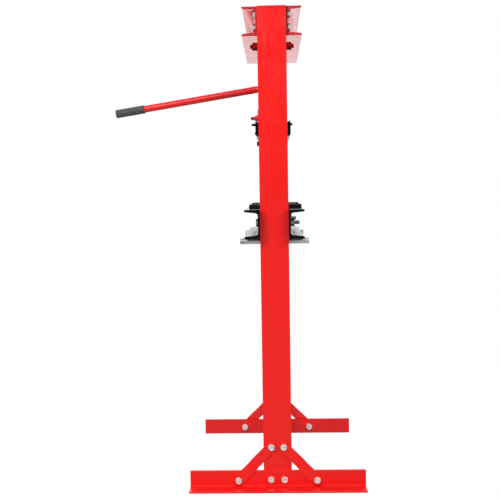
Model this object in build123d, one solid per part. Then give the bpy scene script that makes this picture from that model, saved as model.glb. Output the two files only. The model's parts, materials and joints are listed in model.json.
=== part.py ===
from build123d import *

import os
from math import atan, cos, hypot

# Hydraulic shop press. Millimetres, +Z up, operator at -Y, +X to the operator's right.
# The origin is on the floor at the centre of the footprint.

# Rolled channel of the posts, the head and the bed
CHANNEL_DEPTH = 80.0
CHANNEL_FLANGE = 43.0
CHANNEL_WEB = 5.0
FLANGE_MEAN = 8.0
FLANGE_TAPER = 0.1
ROOT_FILLET = 8.0
TOE_FILLET = 4.0

# Posts
POST_OUT = 260.0
POST_HEIGHT = 1350.0
POST_HALF = CHANNEL_DEPTH / 2
BOLT_LINE = POST_OUT - 25.0
PIN_HOLE_R = 9.5
PIN_HOLE_STEP = 110.0
PIN_HOLES_BELOW = 4
PIN_HOLES_ABOVE = 1

# Feet, braces and lower tie
FOOT_LENGTH = 500.0
FOOT_LEG = 50.0
FOOT_THICK = 5.0
FOOT_FILLET = 2.5
ANCHOR_Y = 185.0
ANCHOR_X = POST_OUT + 27.0
ANCHOR_R = 6.0
FOOT_BOLT = (19.0, 23.5)
BRACE_LOW = (111.5, 22.8)
BRACE_HIGH = (17.5, 117.3)
BRACE_WIDTH = 30.0
BRACE_THICK = 5.0
JOGGLE_FROM = 57.0
JOGGLE_TO = 67.0
TIE_DEPTH = 60.0
TIE_THICK = 6.0
TIE_END = (52.0, 64.0, 5.0)

# Head
HEAD_LENGTH = 500.0
HEAD_BOTTOM = POST_HEIGHT - CHANNEL_DEPTH
HEAD_BOLT_HEIGHTS = (1294.0, 1330.0)
HEAD_NUT_SEAT = 30.8
SPOT_FACE = 0.5
STUD_HEIGHT = 1243.5
STUD_HALF = 60.5
STUD_NUT_HEIGHT = 12.3
REACTION_PLATE = (140.0, 80.0, 20.0)
RING_R = (16.5, 22.0)
RING_THICK = 8.0

# Bed
BED_LENGTH = 590.0
BED_BOTTOM = 712.0
BED_SIDE_GAP = 0.5
BED_WEB_OUT = POST_HALF + BED_SIDE_GAP + CHANNEL_WEB
BED_TOP = BED_BOTTOM + CHANNEL_DEPTH
BED_BOLT_X = 180.0
BED_BOLT_END = 73.0
BED_SPACER_R = 11.0
PIN_R = 9.0
PIN_LENGTH = 196.0
PIN_CHAMFER = 1.0
REST_GAP = 0.3
PIN_Z = BED_BOTTOM - REST_GAP - PIN_R
PLATE = (110.0, 150.0, 12.0)
PLATE_INNER_X = 90.0
PLATE_Y = 3.5
PLATE_SLOT_R = 15.0
PLATE_VEE = 22.0
PLATE_CORNER = 2.0

# Carriage, which hangs between the posts and carries the jack
PRESS_Y = 6.0
BEAM_HALF_LENGTH = 208.0
BEAM_HALF_WIDTH = 50.0
BEAM_BOTTOM = 997.5
BEAM_TOP = 1040.0
BEAM_WALL = 5.0
BEAM_BEND_R = 8.0
END_PLATE_TOP = BEAM_TOP - 3.0
SHOE = (38.0, 58.0, 34.0)
SHOE_CHAMFER = 3.0
BLOCK_HALF_X = 50.0
SPRING_X = 185.0
SPRING_LOW_Z = 1032.0
SPRING_HIGH_Z = 1300.0
SPRING_COIL_R = 9.0
SPRING_WIRE_R = 1.2
SPRING_EYE_R = 6.0
SPRING_EYE_TO_COIL = 12.0
CARRIAGE_ROD_Y = (-60.5, 55.5)
HEAD_ROD_Y = (-52.0, 52.0)
HOLDER_R = 26.0
HOLDER_BOTTOM = 962.0
RAM_R = 15.0
RAM_BOTTOM = 940.0
RAM_CHAMFER = 1.5
RAM_GROOVE = 2.0
SCREW_Z = 988.0
SCREW_KNOB_Y = (-42.0, -50.0)
SCREW_KNOB_R = 6.5
SCREW_KNOB_CHAMFER = 0.8

# Bottle jack
FLANGE_HALF = (42.0, 43.0)
FLANGE_TOP = BEAM_TOP + 12.0
BASE_TOP = BEAM_TOP + 43.0
BASE_BOSS_R = 33.0
FRONT_BLOCK_X = (-13.0, 34.0)
FRONT_BLOCK_Y = -46.0
FRONT_BLOCK_BOTTOM = BEAM_TOP + 6.0
FRONT_BLOCK_CORNER = 6.0
FLANGE_CORNER = 10.0
JACK_BOLTS = ((-34.0, -34.0), (-34.0, 34.0), (34.0, -34.0), (34.0, 34.0))
JACK_BOLT_DEPTH = 16.0
TANK_R = 28.5
TANK_WALL = 2.5
TANK_TOP = 1212.0
PLUG_Z = TANK_TOP - 18.0
PLUG_R = 4.0
PLUG_HEAD_R = 5.5
PLUG_HEAD = 2.0
CYLINDER_R = 20.0
CAP_TOP = 1228.0
CAP_AF = 50.0
CAP_COLLAR = 5.0
PISTON_R = 15.0
PISTON_BOTTOM = BASE_TOP + 4.0
PISTON_TOP = 1250.0
PISTON_CHAMFER = 1.5
SADDLE_TOP = HEAD_BOTTOM - REST_GAP
EXTENSION_R = 10.0
EXTENSION_BOTTOM = 1190.0
RUNNING = 0.06

# Pump, handle and release valve
PUMP_Y = -38.5
PUMP_R = 6.0
PUMP_BOTTOM = BASE_TOP - 22.0
PUMP_FLOOR = 2.0
PUMP_TOP = 1128.0
PLUNGER_R = 4.0
PLUNGER_BOTTOM = PUMP_BOTTOM + PUMP_FLOOR + 2.0
EYE_R = 5.8
PIN_SMALL_R = 3.0
PIVOT_Y = -28.0
PIVOT_Z = 1157.0
HANDLE_SLOPE = 0.154
EAR_X = (11.2, 15.0)
EAR_R = 5.4
BRACKET_PLATE = 3.0
PUMP_COLLAR = (17.0, 7.0)
PIVOT_PIN_OUT = 1.5
EYE_PLAY = 0.4
EYE_SLOT = (3.2, 0.45, 1.1)
CHEEK_IN = 6.1
CHEEK_OUT = 10.8
CHEEK_R = 5.8
CHEEK_WAIST = 8.5
YOKE_R = 10.65
YOKE_FROM = 16.0
YOKE_THROAT = 21.0
YOKE_END = 25.0
SPIGOT_R = 7.85
SPIGOT_END = 95.0
TUBE_R = (8.0, 10.65)
TUBE_FROM = 25.5
TUBE_END = 458.0
GRIP_R = 12.7
GRIP_ROUND = 3.0
GRIP_FROM = 371.0
GRIP_END = 461.0
VALVE_X = 20.0
VALVE_Z = 1064.2
VALVE_MOUTH_Y = -59.4
VALVE_TIP_Y = -66.6
VALVE_STEM_R = 4.0
VALVE_STEM_LENGTH = 36.0
VALVE_KNOB_R = 4.8
VALVE_KNOB_CHAMFER = 0.5
SNOUT_R = (10.5, 4.8)

# Hexagon hardware: thread radius, across flats, head height, nut height, washer radius, washer height
M8 = (4.0, 13.0, 5.3, 6.8, 8.0, 1.6)
M10 = (5.0, 17.0, 6.4, 8.4, 10.0, 2.0)
M12 = (6.0, 19.0, 7.5, 10.5, 12.0, 2.5)
HOLE_SPARE = 0.5
BOLT_SPARE = 2.0
HEX_CORNER = 0.577
HEX_CHAMFER = (0.045, 0.077)
CUT = 400.0

UP = (0, 0, 1)
BASE_ALIGN = (Align.CENTER, Align.CENTER, Align.MIN)
SIDES = {"left": -1, "right": 1}
ENDS = {"front": -1, "rear": 1}


def save(name, *solids):
    """Writes one node: one solid, or a group of alike solids."""
    shape = solids[0] if len(solids) == 1 else Compound(list(solids))
    export_step(shape, f"parts/{name}.step")


def rod(start, direction, radius, length):
    """A round bar from a point, along a direction."""
    place = Plane(origin=start, z_dir=direction).location
    return place * Cylinder(radius, length, align=BASE_ALIGN)


def ring(start, direction, outer, inner, length):
    """A tube or washer from a point, along a direction."""
    return rod(start, direction, outer, length) - rod(start, direction, inner, length)


def hexagon(start, direction, flats, length):
    """A hexagonal prism with its far corners turned off, as on a bolt head or a nut."""
    prism = extrude(RegularPolygon(flats / 2, 6, major_radius=False), amount=length)
    turned = Cylinder(flats * HEX_CORNER, length, align=BASE_ALIGN)
    turned = chamfer(turned.edges().group_by(Axis.Z)[-1], *(flats * share for share in HEX_CHAMFER))
    return Plane(origin=start, z_dir=direction).location * (prism & turned)


def reverse(direction):
    return tuple(-d for d in direction)


def bolt(seat, direction, size, length):
    """A bolt whose head sits on a point, with its shank along a direction."""
    radius, flats, head = size[:3]
    return hexagon(seat, reverse(direction), flats, head) + rod(seat, direction, radius, length)


def nut(seat, direction, size):
    """A nut that sits on a point and stands along a direction."""
    radius, flats, _, height = size[:4]
    return hexagon(seat, direction, flats, height) - rod(seat, direction, radius, height)


def washer(seat, direction, size):
    return ring(seat, direction, size[4], size[0], size[5])


def channel(length):
    """A rolled channel along +Z: its web's back lies on x = 0 and its tapered flanges point to +X."""
    half = CHANNEL_DEPTH / 2
    drop = FLANGE_TAPER * (CHANNEL_FLANGE - CHANNEL_WEB) / 2
    toe = half - (FLANGE_MEAN - drop)
    root = half - (FLANGE_MEAN + drop)
    outline = Polyline(
        (0, -half),
        (CHANNEL_FLANGE, -half),
        (CHANNEL_FLANGE, -toe),
        (CHANNEL_WEB, -root),
        (CHANNEL_WEB, root),
        (CHANNEL_FLANGE, toe),
        (CHANNEL_FLANGE, half),
        (0, half),
        close=True,
    )
    section = make_face(outline)
    roots = section.vertices().filter_by(lambda v: abs(v.X - CHANNEL_WEB) < 0.01)
    section = fillet(roots, ROOT_FILLET)
    toes = section.vertices().filter_by(lambda v: v.X > CHANNEL_FLANGE - 0.01 and abs(v.Y) < half - 1)
    section = fillet(toes, TOE_FILLET)
    return extrude(section, amount=length)


def cross_channel(side, back_y, middle_z, length):
    """A channel along X whose web's back is at back_y, with its flanges pointing away from the posts."""
    place = Plane(origin=(-length / 2, side * back_y, middle_z), x_dir=(0, side, 0), z_dir=(1, 0, 0))
    return place.location * channel(length)


def across(x, z, radius):
    """A long cutter along Y, for holes through both flanges or both webs."""
    return Pos(x, 0, z) * Rot(90, 0, 0) * Cylinder(radius, CUT)


def post(side):
    turn = 180 if side > 0 else 0
    body = Pos(side * POST_OUT, 0, 0) * Rot(0, 0, turn) * channel(POST_HEIGHT)
    for step in range(-PIN_HOLES_BELOW, PIN_HOLES_ABOVE + 1):
        body -= across(side * BOLT_LINE, PIN_Z + step * PIN_HOLE_STEP, PIN_HOLE_R)
    heights = (*HEAD_BOLT_HEIGHTS, STUD_HEIGHT) if side > 0 else HEAD_BOLT_HEIGHTS
    for height in heights:
        body -= across(side * BOLT_LINE, height, M12[0] + HOLE_SPARE)
    for y, z in (FOOT_BOLT, BRACE_HIGH):
        for end in ENDS.values():
            body -= rod((side * POST_OUT, end * y, z), (-side, 0, 0), M10[0] + HOLE_SPARE, CHANNEL_FLANGE)
            nut_seat = (side * (POST_OUT - CHANNEL_WEB), end * y, z)
            body -= rod(nut_seat, (-side, 0, 0), M10[4] + SPOT_FACE, ROOT_FILLET)
    return body


def foot(side):
    """An angle whose upright leg stands against the post's web, with anchor holes in the flat leg."""
    section = make_face(
        Polyline(
            (0, 0),
            (FOOT_LEG, 0),
            (FOOT_LEG, FOOT_THICK),
            (FOOT_THICK, FOOT_THICK),
            (FOOT_THICK, FOOT_LEG),
            (0, FOOT_LEG),
            close=True,
        )
    )
    corner = section.vertices().filter_by(lambda v: abs(v.X - v.Y) < 0.01 and v.X > 1)
    section = fillet(corner, FOOT_FILLET)
    toes = section.vertices().filter_by(lambda v: min(v.X, v.Y) > 1 and max(v.X, v.Y) > FOOT_LEG - 1)
    section = fillet(toes, FOOT_FILLET)
    body = Pos(POST_OUT, FOOT_LENGTH / 2, 0) * Rot(90, 0, 0) * extrude(section, amount=FOOT_LENGTH)
    for end in ENDS.values():
        body -= Pos(ANCHOR_X, end * ANCHOR_Y, 0) * Cylinder(ANCHOR_R, 3 * FOOT_THICK)
        for y, z in (FOOT_BOLT, BRACE_LOW):
            body -= rod((POST_OUT, end * y, z), (1, 0, 0), M10[0] + HOLE_SPARE, FOOT_THICK)
    return body if side > 0 else mirror(body, about=Plane.YZ)


def brace(side, end):
    """A flat bar at 45 degrees, offset by its own thickness so that it lies on the foot and on the post."""
    rise = BRACE_HIGH[1] - BRACE_LOW[1]
    run = BRACE_LOW[0] - BRACE_HIGH[0]
    span = hypot(run, rise)
    out = span + BRACE_WIDTH
    strip = Polyline(
        (-BRACE_WIDTH, FOOT_THICK),
        (JOGGLE_FROM, FOOT_THICK),
        (JOGGLE_TO, 0),
        (out, 0),
        (out, BRACE_THICK),
        (JOGGLE_TO, BRACE_THICK),
        (JOGGLE_FROM, FOOT_THICK + BRACE_THICK),
        (-BRACE_WIDTH, FOOT_THICK + BRACE_THICK),
        close=True,
    )
    bar = extrude(Plane.XZ.location * make_face(strip), amount=BRACE_WIDTH, both=True)
    bar &= extrude(Pos(span / 2, 0) * SlotCenterToCenter(span, BRACE_WIDTH), amount=4 * BRACE_THICK)
    for s in (0, span):
        bar -= Pos(s, 0, 0) * Cylinder(M10[0] + HOLE_SPARE, CUT)
    place = Plane(
        origin=(side * POST_OUT, end * BRACE_LOW[0], BRACE_LOW[1]),
        x_dir=(0, -end * run, rise),
        z_dir=(side, 0, 0),
    )
    return place.location * bar


def lower_tie():
    """A flat bar on edge between the posts, with a plate welded on each end for the brace bolts."""
    wide, tall, thick = TIE_END
    inner = POST_OUT - CHANNEL_WEB
    body = Pos(0, 0, BRACE_HIGH[1]) * Box(2 * (inner - thick), TIE_THICK, TIE_DEPTH)
    for side in SIDES.values():
        plate = Pos(side * (inner - thick / 2), 0, BRACE_HIGH[1]) * Box(thick, wide, tall)
        outer = plate.edges().filter_by(Axis.Z).filter_by(lambda e: abs(e.center().X) > inner - 1)
        body += fillet(outer, 0.9 * thick)
        for end in ENDS.values():
            start = (side * inner, end * BRACE_HIGH[0], BRACE_HIGH[1])
            body -= rod(start, (-side, 0, 0), M10[0] + HOLE_SPARE, thick)
    return body


def base_fasteners():
    """Bolts, washers and nuts of the feet and braces, as three lists."""
    grips = (
        (FOOT_BOLT, FOOT_THICK, CHANNEL_WEB),
        (BRACE_LOW, FOOT_THICK + BRACE_THICK, 0),
        (BRACE_HIGH, BRACE_THICK, CHANNEL_WEB + TIE_END[2]),
    )
    bolts, washers, nuts = [], [], []
    for side in SIDES.values():
        inward = (-side, 0, 0)
        for end in ENDS.values():
            for (y, z), outside, inside in grips:
                face = POST_OUT - inside
                length = outside + inside + M10[5] + M10[3] + BOLT_SPARE
                bolts.append(bolt((side * (POST_OUT + outside), end * y, z), inward, M10, length))
                washers.append(washer((side * face, end * y, z), inward, M10))
                nuts.append(nut((side * (face - M10[5]), end * y, z), inward, M10))
    return bolts, washers, nuts


def head_fasteners():
    """Short bolts through each head web and post flange, with the washers and nuts inside the post."""
    outer = POST_HALF + CHANNEL_WEB
    bolts, washers, nuts = [], [], []
    for side in SIDES.values():
        x = side * BOLT_LINE
        for end in ENDS.values():
            inward = (0, -end, 0)
            for z in HEAD_BOLT_HEIGHTS:
                length = outer - HEAD_NUT_SEAT + M12[5] + M12[3] + BOLT_SPARE
                bolts.append(bolt((x, end * outer, z), inward, M12, length))
                washers.append(washer((x, end * HEAD_NUT_SEAT, z), inward, M12))
                nuts.append(nut((x, end * (HEAD_NUT_SEAT - M12[5]), z), inward, M12))
    return bolts, washers, nuts


def stud_nuts():
    """Washers and nuts at both ends of the stud through the right post, just under the head."""
    nuts = []
    for end in ENDS.values():
        nuts.append(washer((BOLT_LINE, end * POST_HALF, STUD_HEIGHT), (0, end, 0), M12))
        seat = (BOLT_LINE, end * (POST_HALF + M12[5]), STUD_HEIGHT)
        prism = hexagon(seat, (0, end, 0), M12[1], STUD_NUT_HEIGHT)
        nuts.append(prism - rod(seat, (0, end, 0), M12[0], STUD_NUT_HEIGHT))
    return nuts


def spring_rods(z, ends, inner):
    """A threaded rod on each side, which a return spring hooks on, with its nuts inside the walls."""
    front, rear = ends
    solids = []
    for side in SIDES.values():
        x = side * SPRING_X
        solids.append(rod((x, front, z), (0, 1, 0), M8[0], rear - front))
        for end in ENDS.values():
            solids.append(nut((x, end * inner, z), (0, -end, 0), M8))
    return solids


def head_channel(side):
    body = cross_channel(side, POST_HALF, POST_HEIGHT - CHANNEL_DEPTH / 2, HEAD_LENGTH)
    for hand in SIDES.values():
        for z in HEAD_BOLT_HEIGHTS:
            x = hand * BOLT_LINE
            body -= across(x, z, M12[0] + HOLE_SPARE)
            seat = (x, side * (POST_HALF + CHANNEL_WEB), z)
            body -= rod(seat, (0, side, 0), M12[1] * HEX_CORNER + SPOT_FACE, ROOT_FILLET)
        body -= across(hand * SPRING_X, SPRING_HIGH_Z, M8[0] + HOLE_SPARE)
    return body


def return_spring(side):
    """A closed-coil extension spring as its outer tube, with an eye at each end."""
    low = SPRING_LOW_Z + SPRING_EYE_TO_COIL
    high = SPRING_HIGH_Z - SPRING_EYE_TO_COIL
    bore = SPRING_COIL_R - 2 * SPRING_WIRE_R
    coil = Cylinder(SPRING_COIL_R, high - low, align=BASE_ALIGN)
    end_wall = 2 * SPRING_WIRE_R
    coil -= Pos(0, 0, end_wall) * Cylinder(bore, high - low - 2 * end_wall, align=BASE_ALIGN)
    body = Pos(0, 0, low) * coil
    for eye, seat, up in ((SPRING_LOW_Z, low, 1), (SPRING_HIGH_Z, high, -1)):
        body += Pos(0, 0, eye) * Rot(90, 0, 0) * Torus(SPRING_EYE_R, SPRING_WIRE_R)
        neck = abs(seat - eye) - SPRING_EYE_R + 1
        body += rod((0, 0, eye + up * SPRING_EYE_R), (0, 0, up), SPRING_WIRE_R, neck)
    return Pos(side * SPRING_X, 0, 0) * body


def bed_channel(side):
    back = POST_HALF + BED_SIDE_GAP
    body = cross_channel(side, back, BED_BOTTOM + CHANNEL_DEPTH / 2, BED_LENGTH)
    for hand in SIDES.values():
        body -= across(hand * BED_BOLT_X, BED_BOTTOM + CHANNEL_DEPTH / 2, M12[0] + HOLE_SPARE)
    return body


def bed_fasteners():
    """Spacer tubes between the bed channels, and the bolts, washers and nuts that clamp them."""
    z = BED_BOTTOM + CHANNEL_DEPTH / 2
    gap = BED_WEB_OUT - CHANNEL_WEB
    spacers, bolts, nuts = [], [], []
    for side in SIDES.values():
        x = side * BED_BOLT_X
        spacers.append(ring((x, -gap, z), (0, 1, 0), BED_SPACER_R, M12[0] + HOLE_SPARE, 2 * gap))
        bolts.append(bolt((x, -BED_WEB_OUT, z), (0, 1, 0), M12, BED_WEB_OUT + BED_BOLT_END))
        nuts.append(washer((x, BED_WEB_OUT, z), (0, 1, 0), M12))
        nuts.append(nut((x, BED_WEB_OUT + M12[5], z), (0, 1, 0), M12))
    return spacers, bolts, nuts


def arbor_plate(side):
    """A loose plate with a round-bottomed slot in its inner edge and a vee in each other edge."""
    wide, deep, thick = PLATE
    sketch = RectangleRounded(wide, deep, PLATE_CORNER)
    sketch -= Pos(-wide / 2, 0) * SlotCenterToCenter(4 * PLATE_SLOT_R, 2 * PLATE_SLOT_R)
    for x, y in ((wide / 2, 0), (0, deep / 2), (0, -deep / 2)):
        sketch -= Pos(x, y) * Rot(0, 0, 45) * Rectangle(PLATE_VEE, PLATE_VEE)
    plate = extrude(sketch, amount=thick)
    plate = Pos(PLATE_INNER_X + wide / 2, PLATE_Y, BED_TOP + REST_GAP) * plate
    return plate if side > 0 else mirror(plate, about=Plane.YZ)


def carriage_beam():
    """A plate bent to a U that is open at the top, with bolt holes and the ram's hole."""
    height = BEAM_TOP - BEAM_BOTTOM
    middle = (BEAM_TOP + BEAM_BOTTOM) / 2
    body = Pos(0, 0, middle) * Box(2 * BEAM_HALF_LENGTH, 2 * BEAM_HALF_WIDTH, height)
    bottom = body.edges().filter_by(Axis.X).group_by(Axis.Z)[0]
    body = fillet(bottom, BEAM_BEND_R)
    hollow = Pos(0, 0, middle + BEAM_WALL) * Box(
        2 * BEAM_HALF_LENGTH + 1, 2 * (BEAM_HALF_WIDTH - BEAM_WALL), height
    )
    inside = hollow.edges().filter_by(Axis.X).group_by(Axis.Z)[0]
    body -= fillet(inside, BEAM_BEND_R - BEAM_WALL)
    body -= Pos(0, PRESS_Y, BEAM_BOTTOM) * Cylinder(RAM_R + HOLE_SPARE, 3 * BEAM_WALL)
    for side in SIDES.values():
        body -= across(side * SPRING_X, SPRING_LOW_Z, M8[0] + HOLE_SPARE)
    return body


def carriage_end(side):
    """A plate across the open end of the beam."""
    height = END_PLATE_TOP - BEAM_BOTTOM - BEAM_WALL
    place = (side * (BEAM_HALF_LENGTH - BEAM_WALL / 2), 0, BEAM_BOTTOM + BEAM_WALL + height / 2)
    plate = Pos(*place) * Box(BEAM_WALL, 2 * (BEAM_HALF_WIDTH - BEAM_WALL), height)
    bottom = plate.edges().filter_by(Axis.X).group_by(Axis.Z)[0]
    return fillet(bottom, BEAM_BEND_R - BEAM_WALL)


def guide_shoe(side):
    """A block that slides between the post's flanges."""
    long, wide, tall = SHOE
    place = (side * (BEAM_HALF_LENGTH + long / 2), 0, BEAM_BOTTOM + BEAM_WALL + tall / 2)
    shoe = Pos(*place) * Box(long, wide, tall)
    return chamfer(shoe.edges().filter_by(Axis.Z), SHOE_CHAMFER)


def ram_block():
    """The solid block inside the beam that passes the load from the jack to the ram."""
    height = BEAM_TOP - BEAM_BOTTOM - BEAM_WALL
    block = Pos(0, 0, BEAM_TOP - height / 2) * Box(
        2 * BLOCK_HALF_X, 2 * (BEAM_HALF_WIDTH - BEAM_WALL), height
    )
    bottom = block.edges().filter_by(Axis.X).group_by(Axis.Z)[0]
    block = fillet(bottom, BEAM_BEND_R - BEAM_WALL)
    for x, y in JACK_BOLTS:
        block -= rod((x, y, BEAM_TOP), reverse(UP), M8[0], JACK_BOLT_DEPTH + 1)
    return block


def ram_holder():
    """The collar under the beam that the ram fits in, with a tapped hole for its set screw."""
    body = ring((0, PRESS_Y, HOLDER_BOTTOM), UP, HOLDER_R, RAM_R + RUNNING, BEAM_BOTTOM - HOLDER_BOTTOM)
    return body - rod((0, PRESS_Y, SCREW_Z), (0, -1, 0), M10[0] + RUNNING, 2 * HOLDER_R)


def ram():
    body = rod((0, PRESS_Y, RAM_BOTTOM), UP, RAM_R, BEAM_BOTTOM + BEAM_WALL - RAM_BOTTOM)
    body = chamfer(body.edges().group_by(Axis.Z)[0], RAM_CHAMFER)
    height = 2 * (M10[0] + 1)
    return body - ring((0, PRESS_Y, SCREW_Z - height / 2), UP, 2 * RAM_R, RAM_R - RAM_GROOVE, height)


def ram_set_screw():
    """The knurled screw that holds the ram by its groove."""
    start, end = SCREW_KNOB_Y
    tip = PRESS_Y - RAM_R + RAM_GROOVE - REST_GAP
    knob = rod((0, start, SCREW_Z), (0, -1, 0), SCREW_KNOB_R, start - end)
    knob = chamfer(knob.edges().filter_by(GeomType.CIRCLE), SCREW_KNOB_CHAMFER)
    return knob + rod((0, tip, SCREW_Z), (0, -1, 0), M10[0], tip - start)


def jack_base():
    """The jack's casting: a bolted flange, a round boss, and a front block for the pump and the valve."""
    half_x, half_y = FLANGE_HALF
    flange = extrude(RectangleRounded(2 * half_x, 2 * half_y, FLANGE_CORNER), amount=FLANGE_TOP - BEAM_TOP)
    body = Pos(0, 0, BEAM_TOP) * flange
    body += rod((0, PRESS_Y, BEAM_TOP), UP, BASE_BOSS_R, BASE_TOP - BEAM_TOP)
    low, high = FRONT_BLOCK_X
    depth = PRESS_Y - FRONT_BLOCK_Y
    height = BASE_TOP - FRONT_BLOCK_BOTTOM
    block = extrude(RectangleRounded(high - low, depth, FRONT_BLOCK_CORNER), amount=height)
    body += Pos((low + high) / 2, FRONT_BLOCK_Y + depth / 2, FRONT_BLOCK_BOTTOM) * block
    snout = Cone(*SNOUT_R, FRONT_BLOCK_Y - VALVE_MOUTH_Y, align=BASE_ALIGN)
    body += Plane(origin=(VALVE_X, FRONT_BLOCK_Y, VALVE_Z), z_dir=(0, -1, 0)).location * snout
    body -= rod((VALVE_X, VALVE_MOUTH_Y, VALVE_Z), (0, 1, 0), VALVE_STEM_R + RUNNING, VALVE_STEM_LENGTH + BOLT_SPARE)
    body -= rod((0, PUMP_Y, PUMP_BOTTOM), UP, PUMP_R, BASE_TOP - PUMP_BOTTOM)
    for x, y in JACK_BOLTS:
        body -= rod((x, y, BEAM_TOP), UP, M8[0] + HOLE_SPARE, FLANGE_TOP - BEAM_TOP)
        body -= rod((x, y, FLANGE_TOP), UP, M8[1] * HEX_CORNER + SPOT_FACE, BASE_TOP - FLANGE_TOP)
    return body


def release_valve():
    """The valve's stem with its knurled knob, which turns in the casting."""
    mouth = VALVE_MOUTH_Y - REST_GAP
    knob = rod((VALVE_X, mouth, VALVE_Z), (0, -1, 0), VALVE_KNOB_R, mouth - VALVE_TIP_Y)
    knob = chamfer(knob.edges().filter_by(GeomType.CIRCLE), VALVE_KNOB_CHAMFER)
    return knob + rod((VALVE_X, mouth, VALVE_Z), (0, 1, 0), VALVE_STEM_R, VALVE_STEM_LENGTH)


def jack_tank():
    body = ring((0, PRESS_Y, BASE_TOP), UP, TANK_R, TANK_R - TANK_WALL, TANK_TOP - BASE_TOP)
    return body - rod((0, PRESS_Y, PLUG_Z), (0, 1, 0), PLUG_R, 2 * TANK_R)


def jack_oil_plug():
    """A rubber plug in the filler hole at the back of the tank."""
    outside = PRESS_Y + TANK_R
    stem = rod((0, outside - TANK_WALL, PLUG_Z), (0, 1, 0), PLUG_R, TANK_WALL)
    return stem + rod((0, outside, PLUG_Z), (0, 1, 0), PLUG_HEAD_R, PLUG_HEAD)


def jack_cap():
    """The hexagonal nut that clamps the tank and guides the piston."""
    body = rod((0, PRESS_Y, TANK_TOP), UP, TANK_R, CAP_COLLAR)
    body += hexagon((0, PRESS_Y, TANK_TOP + CAP_COLLAR), UP, CAP_AF, CAP_TOP - TANK_TOP - CAP_COLLAR)
    return body - rod((0, PRESS_Y, TANK_TOP), UP, PISTON_R + RUNNING, CAP_TOP - TANK_TOP)


def jack_piston():
    body = rod((0, PRESS_Y, PISTON_BOTTOM), UP, PISTON_R, PISTON_TOP - PISTON_BOTTOM)
    body = chamfer(body.edges().group_by(Axis.Z)[-1], PISTON_CHAMFER)
    return body - rod((0, PRESS_Y, EXTENSION_BOTTOM), UP, EXTENSION_R, PISTON_TOP - EXTENSION_BOTTOM)


def extension_screw():
    """The screw in the piston's end, with the saddle that bears on the head."""
    saddle = rod((0, PRESS_Y, PISTON_TOP), UP, PISTON_R - 1, SADDLE_TOP - PISTON_TOP)
    saddle = chamfer(saddle.edges().filter_by(GeomType.CIRCLE), PISTON_CHAMFER)
    return saddle + rod((0, PRESS_Y, EXTENSION_BOTTOM), UP, EXTENSION_R, PISTON_TOP - EXTENSION_BOTTOM)


def fulcrum_bracket():
    """A plate bent to a U, clamped under the pump's collar, whose ears carry the handle's pivot pin."""
    inner, outer = EAR_X
    depth = PIVOT_Y + EAR_R - FRONT_BLOCK_Y
    plate = Pos(0, FRONT_BLOCK_Y + depth / 2, BASE_TOP + BRACKET_PLATE / 2)
    body = plate * Box(inner + outer, depth, BRACKET_PLATE)
    body -= rod((0, PUMP_Y, BASE_TOP), UP, PUMP_R, BRACKET_PLATE)
    for side in SIDES.values():
        middle = side * (inner + outer) / 2
        ear = Pos(middle, PIVOT_Y, (BASE_TOP + PIVOT_Z) / 2)
        body += ear * Box(outer - inner, 2 * EAR_R, PIVOT_Z - BASE_TOP)
        body += Pos(middle, PIVOT_Y, PIVOT_Z) * Rot(0, 90, 0) * Cylinder(EAR_R, outer - inner)
    return body - Pos(0, PIVOT_Y, PIVOT_Z) * Rot(0, 90, 0) * Cylinder(PIN_SMALL_R, CUT)


def pump_cylinder():
    """The pump's barrel, screwed into the casting, with a hexagonal collar that clamps the bracket."""
    body = rod((0, PUMP_Y, PUMP_BOTTOM), UP, PUMP_R, PUMP_TOP - PUMP_BOTTOM)
    body += hexagon((0, PUMP_Y, BASE_TOP + BRACKET_PLATE), UP, *PUMP_COLLAR)
    return body - rod((0, PUMP_Y, PUMP_BOTTOM + PUMP_FLOOR), UP, PLUNGER_R + RUNNING, PUMP_TOP - PUMP_BOTTOM)


def handle_frame():
    """The handle's axis at rest: a plane at the pivot whose Z runs out along the handle."""
    norm = hypot(1, HANDLE_SLOPE)
    direction = (0, -1 / norm, -HANDLE_SLOPE / norm)
    return Plane(origin=(0, PIVOT_Y, PIVOT_Z), x_dir=(1, 0, 0), z_dir=direction)


def pump_arm():
    """The distance from the pivot to the plunger's pin, along the handle's axis."""
    return (PIVOT_Y - PUMP_Y) / cos(atan(HANDLE_SLOPE))


def pump_plunger():
    """The plunger's rod and its eye, slotted so that the pin can swing while the rod goes straight."""
    pin_z = PIVOT_Z - (PIVOT_Y - PUMP_Y) * HANDLE_SLOPE
    body = rod((0, PUMP_Y, PLUNGER_BOTTOM), UP, PLUNGER_R, pin_z - PLUNGER_BOTTOM)
    body += Pos(0, PUMP_Y, pin_z) * Rot(0, 90, 0) * Cylinder(EYE_R, 2 * (CHEEK_IN - EYE_PLAY))
    length, play, offset = EYE_SLOT
    slot = extrude(SlotCenterToCenter(length, 2 * (PIN_SMALL_R + play)), amount=CHEEK_IN, both=True)
    place = Plane(origin=(0, PUMP_Y + offset, pin_z), x_dir=(0, 1, 0), z_dir=(1, 0, 0))
    return body - place.location * slot


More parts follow.
